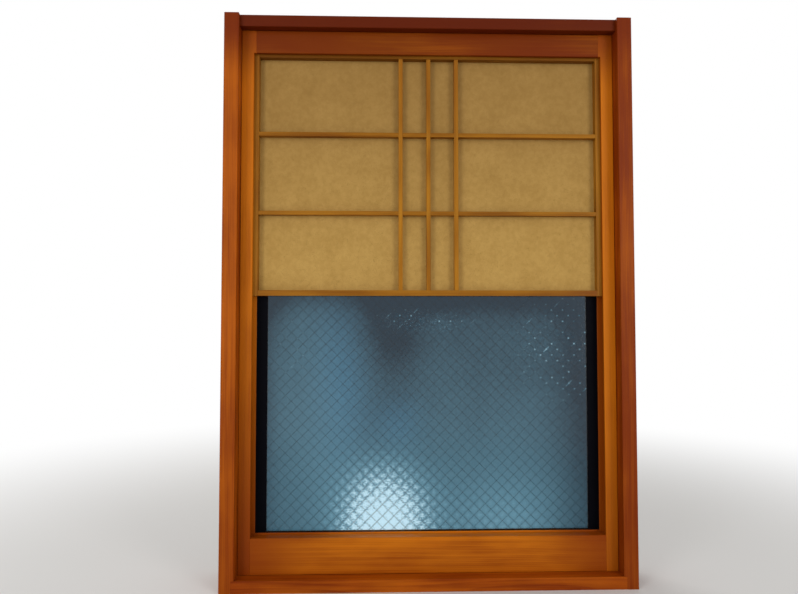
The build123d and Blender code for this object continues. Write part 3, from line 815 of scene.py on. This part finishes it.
# Across the pane, the rising lines fade from clear to faint and the falling ones come up
ACROSS_RANGE, HAZE_ACROSS = (-0.08, 0.38), 0.35
CLEAR_LINE, FAINT_LINE = 0.40, 0.12
# How clear they are from low to high on the pane, and how much clearer where it is pale
UPWARD_CLEARNESS, PALE_CLEARNESS = (0.20, 0.60, 0.35, 1.15), 0.9
GLASS_ROUGHNESS = (0.10, 0.16)
GLASS_BUMP = (0.35, 0.0003)

# The step of the figured face's grid, and how far inside the pane's edges the wire mesh ends
FIGURE_STEP = 0.0023
GLASS_MARGIN = 0.001


def patches(finish, place, rows):
    """The sum of several soft round patches on the pane."""
    falls = []
    for across, up, width, height, amount in rows:
        away = finish.vector("SUBTRACT", place, (across, 0, up))
        sized = finish.vector("MULTIPLY", away, (1 / width, 0, 1 / height))
        square = finish.vector("DOT_PRODUCT", sized, sized)
        falls.append((finish.math("EXPONENT", finish.times(square, -1.0)), amount))
    return finish.weighed(*falls)


def mesh_layout(low, high, spacing):
    """The width and height of the wire mesh in the pane, and its columns and rows of cells."""
    width = high.x - low.x - 2 * GLASS_MARGIN
    height = high.z - low.z - 2 * GLASS_MARGIN
    return width, height, round(width / spacing), round(height / spacing)


def mesh_lines(finish, place, low, high, spacing):
    """How far a point is, in cells of the mesh, from the nearest wire that rises to the right and from the
    nearest that falls, and a vector of the numbers of both."""
    width, height, columns, rows = mesh_layout(low, high, spacing)
    from_corner = finish.vector("SUBTRACT", place, (low.x + GLASS_MARGIN, 0, low.z + GLASS_MARGIN))
    cells = finish.split(finish.vector("MULTIPLY", from_corner, (columns / width, 0, rows / height)))
    gaps, numbers = [], {}
    for axis, operation in (("X", "SUBTRACT"), ("Y", "ADD")):
        slant = finish.math(operation, cells["X"], cells["Z"])
        gaps.append(finish.math("PINGPONG", slant, 0.5))
        numbers[axis] = finish.math("ROUND", slant)
    return gaps, finish.result("ShaderNodeCombineXYZ", numbers)


def shine(finish, place, pale, gaps):
    """How much light the pane shows: its pale and glowing patches, broken glints and level dashes."""
    heart = finish.spread(finish.math("MINIMUM", *gaps), *CELL_HEART)
    flecks = finish.drawn_noise(place, *FLECKS)
    lensed = finish.weighed((flecks, 1.0), (heart, HEART_IN_GLINT), (pale, PALE_IN_GLINT))
    glints = finish.spread(lensed, *GLINT_RANGE)
    dashes = finish.spread(finish.drawn_noise(place, *DASHES), *DASHED)
    return finish.weighed(
        (finish.times(glints, finish.spread(pale, *GLINTING_PALE)), GLINT_LEVEL),
        (finish.times(heart, finish.spread(pale, *GLOWING_PALE)), GLOW_LEVEL),
        (pale, PALE_LEVEL),
        (patches(finish, place, SOFT_BACKLIGHT_PATCHES), 1.0),
        (dashes, patches(finish, place, DASH_GLINT_PATCHES)),
    )


def wire_lines(finish, place, pale, haze, rising, falling):
    """The faint dark lines over the wires, clearer where the pane is pale and towards its top."""
    spot = finish.split(place)
    side = finish.spread(finish.math("MULTIPLY_ADD", haze, HAZE_ACROSS, spot["X"]), *ACROSS_RANGE)
    rising_depth = finish.times(rising, finish.spread(side, 0.0, 1.0, CLEAR_LINE, FAINT_LINE))
    falling_depth = finish.times(falling, finish.spread(side, 0.0, 1.0, FAINT_LINE, CLEAR_LINE))
    upward = finish.spread(spot["Z"], *UPWARD_CLEARNESS)
    clearness = finish.math("MULTIPLY_ADD", pale, PALE_CLEARNESS, upward)
    return finish.times(finish.greatest(rising_depth, falling_depth), clearness)


def figured_glass(glass, low, high):
    """Blue-grey glass that blurs what is behind it, with painted light and shade: broad soft patches of
    painted shade and painted glow, painted glints where it glows most, faint dark lines over its wires, and
    painted bright dots at some of their twists."""
    finish = Finish("figured_glass", Transmission_Weight=1.0, IOR=1.5)
    place = finish.place()
    haze = finish.noise(place, *HAZE)
    hazy = finish.spread(haze, *HAZY)
    pebbles = finish.spread(finish.noise(place, *PEBBLES), *PEBBLED)
    # Painted shade from the dark patches, with darker haze
    dark = finish.math("MULTIPLY_ADD", hazy, HAZE_DARKNESS, patches(finish, place, SHADED_PATCHES))
    # Painted light: bluer where bluer light shows through
    bluish = finish.mix(patches(finish, place, BLUE_LIGHT_PATCHES), glass.tint, glass.blue_light_tint)
    base = finish.mix(finish.plus(dark, pebbles), bluish, glass.shade_and_wire_tint)

    # Painted light: the patches of glow
    pale = patches(finish, place, BACKLIT_PATCHES)
    gaps, twist = mesh_lines(finish, place, low, high, glass.mesh_spacing)
    rising, falling = (finish.spread(gap, *WIRE_LINE) for gap in gaps)
    at_twist = finish.times(*(finish.spread(gap, *WIRE_TWIST) for gap in gaps))
    luck = finish.result("ShaderNodeTexWhiteNoise", {"Vector": twist})
    # Painted highlights at some twists and along some rising wires
    dots = finish.times(at_twist, finish.spread(luck, *TWIST_LUCK))
    strokes = finish.times(rising, finish.spread(luck, *STROKE_LUCK))
    knots = finish.times(finish.greatest(dots, strokes), patches(finish, place, TWIST_GLINT_PATCHES))

    light = finish.plus(shine(finish, place, pale, gaps), knots)
    fringed = finish.mix(finish.spread(light, *FRINGE_LEVELS), base, glass.glow_fringe_tint)
    lit = finish.mix(finish.spread(light, *PALEST_LEVELS), fringed, glass.glow_tint)
    lines = wire_lines(finish, place, pale, haze, rising, falling)
    wired = finish.mix(finish.math("SUBTRACT", lines, knots), lit, glass.shade_and_wire_tint)
    roughness = finish.spread(haze, *NARROW_RANGE, *GLASS_ROUGHNESS)
    relief = finish.bump(finish.noise(place, *FINE_FIGURE), *GLASS_BUMP)
    return finish.drive(Base_Color=wired, Roughness=roughness, Normal=relief)


def slab(name, low, high, step):
    """A closed slab whose front face is a fine grid and whose other faces are plain."""
    columns = max(1, round((high.x - low.x) / step))
    rows = max(1, round((high.z - low.z) / step))
    across = [low.x + (high.x - low.x) * column / columns for column in range(columns + 1)]
    up = [low.z + (high.z - low.z) * row / rows for row in range(rows + 1)]
    form = bmesh.new()
    front = [[form.verts.new((x, low.y, z)) for x in across] for z in up]
    for below, above in zip(front, front[1:]):
        for i in range(columns):
            form.faces.new((below[i], below[i + 1], above[i + 1], above[i]))
    right_side = [line[-1] for line in front[1:-1]]
    left_side = [line[0] for line in front[-2:0:-1]]
    rim = front[0] + right_side + front[-1][::-1] + left_side
    back = [form.verts.new((vertex.co.x, high.y, vertex.co.z)) for vertex in rim]
    for i, vertex in enumerate(rim):
        after = (i + 1) % len(rim)
        form.faces.new((rim[after], vertex, back[i], back[after]))
    form.faces.new(back[::-1])
    mesh = bpy.data.meshes.new(name)
    form.to_mesh(mesh)
    form.free()
    return mesh


FIGURE_TREE_INPUTS = {
    "Geometry": "Geometry",
    "Face": "Float",
    "Spacing": "Float",
    "Depth": "Float",
    "Material": "Material",
}
# How rounded and how uneven the dimples are, and how deep each is from its rim to its middle
DIMPLE_ROUNDING, DIMPLE_UNEVENNESS = 0.7, 0.85
DIMPLE_HOLLOW = (0.55, 0.05, 0.0, 0.7)
# The broad roll under the dimples: its scale beside theirs, and how deep it is
ROLL_SCALE, ROLL_DEPTH = 0.35, 0.3
ON_FACE = 0.0001
FRONT_FACING = -0.5


def figure_tree():
    """Presses shallow uneven dimples into the slab's front face."""
    steps, given, identifiers = new_tree("Figured face", FIGURE_TREE_INPUTS)
    place = steps.result("GeometryNodeInputPosition")
    gap = steps.math("ABSOLUTE", steps.math("SUBTRACT", steps.split(place)["Y"], given["Face"]))
    on_face = steps.math("LESS_THAN", gap, ON_FACE)
    pitch = steps.math("DIVIDE", 1.0, given["Spacing"])
    dimples = steps.add(
        "ShaderNodeTexVoronoi",
        {"Vector": place, "Scale": pitch, "Smoothness": DIMPLE_ROUNDING, "Randomness": DIMPLE_UNEVENNESS},
        feature="SMOOTH_F1",
    ).outputs["Distance"]
    roll = steps.noise(place, steps.times(pitch, ROLL_SCALE), detail=1.0)
    press = steps.plus(steps.spread(dimples, *DIMPLE_HOLLOW), steps.times(roll, ROLL_DEPTH))
    inward = steps.result("ShaderNodeCombineXYZ", {"Y": steps.times(press, given["Depth"])})
    pressed = steps.result(
        "GeometryNodeSetPosition", {"Geometry": given["Geometry"], "Selection": on_face, "Offset": inward}
    )
    normal = steps.result("GeometryNodeInputNormal")
    facing = steps.math("LESS_THAN", steps.split(normal)["Y"], FRONT_FACING)
    smooth = steps.result(
        "GeometryNodeSetShadeSmooth", {"Geometry": pressed, "Selection": facing, "Shade Smooth": True}
    )
    return end_tree(steps, smooth, given["Material"]), identifiers


WIRE_TREE_INPUTS = {
    "Width": "Float",
    "Height": "Float",
    "Columns": "Int",
    "Rows": "Int",
    "Place": "Vector",
    "Wire thickness": "Float",
    "Waver": "Float",
    "Material": "Material",
}
# The two wires that cross in a cell of size 1, each from its start to its end
CELL_WIRES = (((-0.5, -0.5, 0.0), (0.5, 0.5, 0.0)), ((-0.5, 0.5, 0.0), (0.5, -0.5, 0.0)))
WIRE_POINTS, WIRE_SIDES = 7, 5
WAVER_SCALE, WAVER_REACH = 60.0, (2.0, 2.0, 0.6)
KNOT_SHAPE = (0.9, 1.7, 0.9)


def wire_tree():
    """A lozenge mesh of thin wires with a small twist at each crossing, stood up to face the front."""
    steps, given, identifiers = new_tree("Lozenge wire mesh", WIRE_TREE_INPUTS)
    size = {
        "Size X": given["Width"],
        "Size Y": given["Height"],
        "Vertices X": steps.plus(given["Columns"], 1.0),
        "Vertices Y": steps.plus(given["Rows"], 1.0),
    }
    grid = steps.result("GeometryNodeMeshGrid", size)
    cells = steps.result("GeometryNodeMeshToPoints", {"Mesh": grid}, mode="FACES")
    corners = steps.result("GeometryNodeMeshToPoints", {"Mesh": grid}, mode="VERTICES")

    pair = [
        steps.result("GeometryNodeCurvePrimitiveLine", {"Start": start, "End": end})
        for start, end in CELL_WIRES
    ]
    cell_width = steps.math("DIVIDE", given["Width"], given["Columns"])
    cell_height = steps.math("DIVIDE", given["Height"], given["Rows"])
    cell_size = steps.result("ShaderNodeCombineXYZ", {"X": cell_width, "Y": cell_height, "Z": 1.0})
    crosses = steps.result(
        "GeometryNodeInstanceOnPoints", {"Points": cells, "Instance": steps.join(*pair), "Scale": cell_size}
    )
    lines = steps.result("GeometryNodeRealizeInstances", {0: crosses})
    pointed = steps.result("GeometryNodeResampleCurve", {"Curve": lines, "Count": WIRE_POINTS})
    place = steps.result("GeometryNodeInputPosition")
    clouds = steps.add("ShaderNodeTexNoise", {"Vector": place, "Scale": WAVER_SCALE, "Detail": 1.0})
    from_middle = steps.vector("SUBTRACT", clouds.outputs["Color"], (0.5, 0.5, 0.5))
    centred = steps.vector("MULTIPLY", from_middle, WAVER_REACH)
    offset = steps.vector("SCALE", centred, scale=given["Waver"])
    wavered = steps.result("GeometryNodeSetPosition", {"Geometry": pointed, "Offset": offset})
    radius = steps.times(given["Wire thickness"], 0.5)
    ring = steps.result("GeometryNodeCurvePrimitiveCircle", {"Resolution": WIRE_SIDES, "Radius": radius})
    wires = steps.result(
        "GeometryNodeCurveToMesh", {"Curve": wavered, "Profile Curve": ring, "Fill Caps": True}
    )

    knot = steps.result("GeometryNodeMeshIcoSphere", {"Radius": given["Wire thickness"], "Subdivisions": 1})
    long_knot = steps.result("GeometryNodeTransform", {"Geometry": knot, "Scale": KNOT_SHAPE})
    knots = steps.result(
        "GeometryNodeInstanceOnPoints", {"Points": steps.join(cells, corners), "Instance": long_knot}
    )
    whole = steps.join(wires, knots)
    stood = steps.result(
        "GeometryNodeTransform", {"Geometry": whole, "Rotation": STOOD_UP, "Translation": given["Place"]}
    )
    return end_tree(steps, stood, given["Material"]), identifiers


def clouded(name, tone, cloud_scale, lightness, roughness, **shader_values):
    """A finish whose tone and roughness both change in soft clouds, between two values of each."""
    finish = Finish(name, **shader_values)
    cloud = finish.noise(finish.place(), cloud_scale)
    body = finish.mix(cloud, *(scaled(tone, share) for share in lightness))
    return finish.drive(Base_Color=body, Roughness=finish.spread(cloud, *NARROW_RANGE, *roughness))


def steel(tone, name="plain_steel"):
    """Bright drawn steel with a faint uneven sheen."""
    surface = {"cloud_scale": 260.0, "lightness": (0.82, 1.0), "roughness": (0.28, 0.45)}
    return clouded(name, tone, **surface, Metallic=1.0)


def satin_black(tone):
    """The channels' satin black coating, a little uneven."""
    surface = {"cloud_scale": 90.0, "lightness": (1.0, 2.0), "roughness": (0.36, 0.52)}
    return clouded("satin_black", tone, **surface, Specular_IOR_Level=0.03)


def nail_brass(tone):
    """Brass a little dulled in patches."""
    surface = {"cloud_scale": 400.0, "lightness": (0.6, 1.0), "roughness": (0.30, 0.50)}
    return clouded("nail_brass", tone, **surface, Metallic=1.0)


class SHOJI_OT_cast_glass(bpy.types.Operator):
    """Cast the figured pane with its wire mesh inside"""

    bl_idname = "shoji.cast_glass"
    bl_label = "Cast the pane"

    def execute(self, context):
        glass = context.scene.shoji.glass
        low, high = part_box("glass_pane")
        tree, identifiers = figure_tree()
        values = {
            "Face": low.y,
            "Spacing": glass.dimple_spacing,
            "Depth": glass.dimple_depth,
            "Material": figured_glass(glass, low, high),
        }
        start = slab("glass_slab", low, high, FIGURE_STEP)
        pane = grow("figured_pane", tree, identifiers, values, "frame", start)
        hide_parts("glass_pane")

        width, height, columns, rows = mesh_layout(low, high, glass.mesh_spacing)
        tree, identifiers = wire_tree()
        values = {
            "Width": width,
            "Height": height,
            "Columns": columns,
            "Rows": rows,
            "Place": ((low.x + high.x) / 2, low.y + glass.wire_depth, (low.z + high.z) / 2),
            "Wire thickness": glass.wire_thickness,
            "Waver": glass.wire_waver,
            "Material": steel(context.scene.shoji.metal.steel, "wire_steel"),
        }
        grow("pane_wires", tree, identifiers, values, "frame")
        return {"FINISHED"}


class SHOJI_OT_fit_metalwork(bpy.types.Operator):
    """Finish the pane's channels, the screws, the springs and the beads' nails"""

    bl_idname = "shoji.fit_metalwork"
    bl_label = "Fit the metalwork"

    def execute(self, context):
        settings = context.scene.shoji
        black = satin_black(settings.glass.channel_tone)
        for node in CHANNELS:
            dress(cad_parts[node], black)
        bright = steel(settings.metal.steel)
        for node in SPRINGS + ("frame_screws",):
            dress(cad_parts[node], bright)
        dress(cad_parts["bead_nails"], nail_brass(settings.metal.brass))
        return {"FINISHED"}


# The studio

# How far from the middle of the floor it starts to fade into white, and where it is white
FADE_REACH = (0.7, 2.2)
# Each lamp's place, what it faces, its width and height, and the setting that holds its power
LAMPS = {
    "left_lamp": ((-1.9, -2.4, 1.1), (0.0, 0.0, 0.55), (1.0, 1.8), "lamp_power"),
    "right_lamp": ((1.9, -2.4, 1.1), (0.0, 0.0, 0.55), (1.0, 1.8), "lamp_power"),
    "back_lamp": ((-0.9, 1.9, 2.1), (0.0, 0.0, 0.6), (1.6, 1.0), "back_lamp_power"),
}
SENSOR_WIDTH_MM = 36.0


def seen_directly(steps):
    """1 for rays from the camera, mirrors and glass, and 0 for those that light the piece, and then 1 for
    those through glass alone."""
    path = steps.add("ShaderNodeLightPath").outputs
    through_glass = path["Is Transmission Ray"]
    seen = steps.greatest(path["Is Camera Ray"], path["Is Glossy Ray"], through_glass)
    return seen, through_glass


def floor_finish(tone):
    """A pale matt floor that fades into the white background away from the screen."""
    finish = Finish("pale_floor", Base_Color=rgba(tone), Roughness=0.9, Specular_IOR_Level=0.1)
    away = finish.vector("LENGTH", finish.place())
    seen, through_glass = seen_directly(finish)
    distant = finish.times(finish.spread(away, *FADE_REACH), seen)
    fade = finish.greatest(distant, through_glass)
    white = finish.result("ShaderNodeEmission", {"Color": rgba(WHITE), "Strength": 1.0})
    blend = finish.result("ShaderNodeMixShader", {0: fade, 1: finish.shader.outputs[0], 2: white})
    finish.tree.links.new(blend, finish.tree.nodes["Material Output"].inputs["Surface"])
    return finish.material


def lay_floor(reach, tone):
    """A flat square of floor, which isn't part of the screen."""
    mesh = bpy.data.meshes.new("floor")
    corners = [(-reach, -reach, 0), (reach, -reach, 0), (reach, reach, 0), (-reach, reach, 0)]
    mesh.from_pydata(corners, [], [(0, 1, 2, 3)])
    mesh.materials.append(floor_finish(tone))
    floor = bpy.data.objects.new("floor", mesh)
    bpy.context.scene.collection.objects.link(floor)


def soft_lamp(name, place, target, size, watts):
    """A large rectangular lamp that looks at a point and isn't seen itself."""
    data = bpy.data.lights.new(name, "AREA")
    data.shape = "RECTANGLE"
    data.size, data.size_y = size
    data.energy = watts
    lamp = bpy.data.objects.new(name, data)
    lamp.location = place
    lamp.rotation_euler = (Vector(target) - Vector(place)).to_track_quat("-Z", "Y").to_euler()
    lamp.visible_camera = False
    bpy.context.scene.collection.objects.link(lamp)


def white_world(fill_level):
    """White all round where it is seen, and a weaker even fill where it lights."""
    world = bpy.data.worlds.new("studio")
    world.use_nodes = True
    steps = Steps(world.node_tree)
    seen, _ = seen_directly(steps)
    level = steps.math("MULTIPLY_ADD", seen, 1.0 - fill_level, fill_level)
    background = world.node_tree.nodes["Background"].inputs
    steps.tree.links.new(level, background["Strength"])
    background["Color"].default_value = rgba(WHITE)
    return world


def stand_camera(stage):
    """The camera, turned and tipped but not rolled."""
    data = bpy.data.cameras.new("camera")
    data.lens = stage.camera_lens
    data.sensor_width = SENSOR_WIDTH_MM
    camera = bpy.data.objects.new("camera", data)
    camera.location = stage.camera_place
    camera.rotation_euler = (math.radians(90) + stage.camera_pitch, 0.0, -stage.camera_yaw)
    bpy.context.scene.collection.objects.link(camera)
    return camera


class SHOJI_OT_set_stage(bpy.types.Operator):
    """Lay the floor, hang the lamps and stand the camera where the view is taken from"""

    bl_idname = "shoji.set_stage"
    bl_label = "Set the stage"

    def execute(self, context):
        scene = context.scene
        stage = scene.shoji.stage
        lay_floor(stage.floor_reach, stage.floor_tone)
        for name, (place, target, size, setting) in LAMPS.items():
            soft_lamp(name, place, target, size, getattr(stage, setting))
        scene.world = white_world(stage.fill_level)
        scene.camera = stand_camera(stage)
        scene.view_settings.view_transform = "Standard"
        return {"FINISHED"}


class SHOJI_PT_workshop(bpy.types.Panel):
    """The steps that finish the screen, in their order, with their settings"""

    bl_idname = "SHOJI_PT_workshop"
    bl_label = "Shoji screen"
    bl_space_type = "VIEW_3D"
    bl_region_type = "UI"
    bl_category = "Shoji"

    def draw(self, context):
        settings = context.scene.shoji
        for title in ("wood", "paper", "glass", "metal", "stage"):
            box = self.layout.box()
            box.label(text=title.capitalize())
            group = getattr(settings, title)
            for name in group.__annotations__:
                box.prop(group, name)
        for operator in OPERATORS:
            self.layout.operator(operator.bl_idname)


OPERATORS = (
    SHOJI_OT_finish_frame,
    SHOJI_OT_finish_leaf,
    SHOJI_OT_finish_lattice,
    SHOJI_OT_hang_paper,
    SHOJI_OT_cast_glass,
    SHOJI_OT_fit_metalwork,
    SHOJI_OT_set_stage,
)
SETTINGS = (
    ShojiWoodSettings,
    ShojiPaperSettings,
    ShojiGlassSettings,
    ShojiMetalSettings,
    ShojiStageSettings,
    ShojiSettings,
)


def register():
    """Adds the settings, the operators and the panel."""
    for group in SETTINGS + OPERATORS + (SHOJI_PT_workshop,):
        bpy.utils.register_class(group)
    bpy.types.Scene.shoji = PointerProperty(type=ShojiSettings)


def unregister():
    """Takes them away again."""
    del bpy.types.Scene.shoji
    for group in reversed(SETTINGS + OPERATORS + (SHOJI_PT_workshop,)):
        bpy.utils.unregister_class(group)


def main():
    """Runs every step in its order."""
    register()
    bpy.ops.shoji.finish_frame()
    bpy.ops.shoji.finish_leaf()
    bpy.ops.shoji.finish_lattice()
    bpy.ops.shoji.hang_paper()
    bpy.ops.shoji.cast_glass()
    bpy.ops.shoji.fit_metalwork()
    bpy.ops.shoji.set_stage()


if __name__ == "__main__":
    main()
